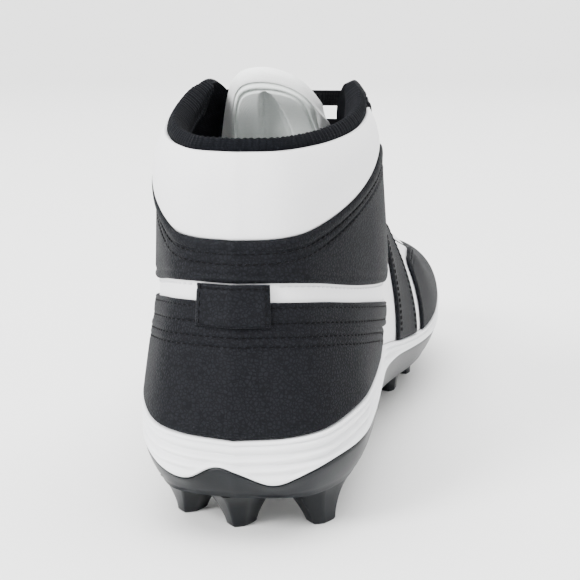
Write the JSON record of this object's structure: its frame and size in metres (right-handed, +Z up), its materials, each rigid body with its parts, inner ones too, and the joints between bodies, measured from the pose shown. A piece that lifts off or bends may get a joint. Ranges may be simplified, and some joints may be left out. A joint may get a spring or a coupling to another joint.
{
  "type": "american football cleat",
  "caption": "Mid-height left football cleat with a padded collar, laced throat, overlaid leather upper, ribbed foam midsole and a studded plate.",
  "frame": {"origin": "On the floor under the middle of the shoe's box, where the stud tips stand", "axes": "+Y from heel to toe, +X to the medial side, +Z up"},
  "size_m": [0.1066, 0.2991, 0.1456],
  "materials": {
    "black_leather": "pebbled, semi-matt",
    "white_leather": "smooth, semi-matt",
    "black_knit": "ribbed knit, matt",
    "pale_knit": "brushed knit, matt",
    "white_rubber": "moulded foam, matt",
    "black_plastic": "moulded, satin",
    "black_webbing": "flat woven, matt"
  },
  "bodies": {
    "root": {"ankle_panel": "black_leather", "arm_lateral": "black_leather", "arm_medial": "black_leather", "collar_lining": "black_knit", "collar_panel": "white_leather", "eyestay_lateral": "black_leather", "eyestay_medial": "black_leather", "heel_band": "black_leather", "heel_counter": "black_leather", "heel_tab": "black_leather", "insole": "pale_knit", "lace_bar_1": "black_webbing", "lace_bar_2": "black_webbing", "lace_bar_3": "black_webbing", "lace_bar_4": "black_webbing", "lace_bar_5": "black_webbing", "lace_bar_6": "black_webbing", "lace_bar_7": "black_webbing", "midsole": "white_rubber", "plate": "black_plastic", "stud_ball_centre": "black_plastic", "stud_ball_lateral_1": "black_plastic", "stud_ball_lateral_2": "black_plastic", "stud_ball_lateral_3": "black_plastic", "stud_ball_medial_1": "black_plastic", "stud_ball_medial_2": "black_plastic", "stud_heel_centre": "black_plastic", "stud_heel_lateral": "black_plastic", "stud_heel_medial": "black_plastic", "stud_shank_lateral": "black_plastic", "stud_shank_medial": "black_plastic", "stud_toe_lateral": "black_plastic", "stud_toe_medial": "black_plastic", "toe_overlay": "black_leather", "tongue": "pale_knit", "upper": "white_leather"}
  },
  "joints": []
}
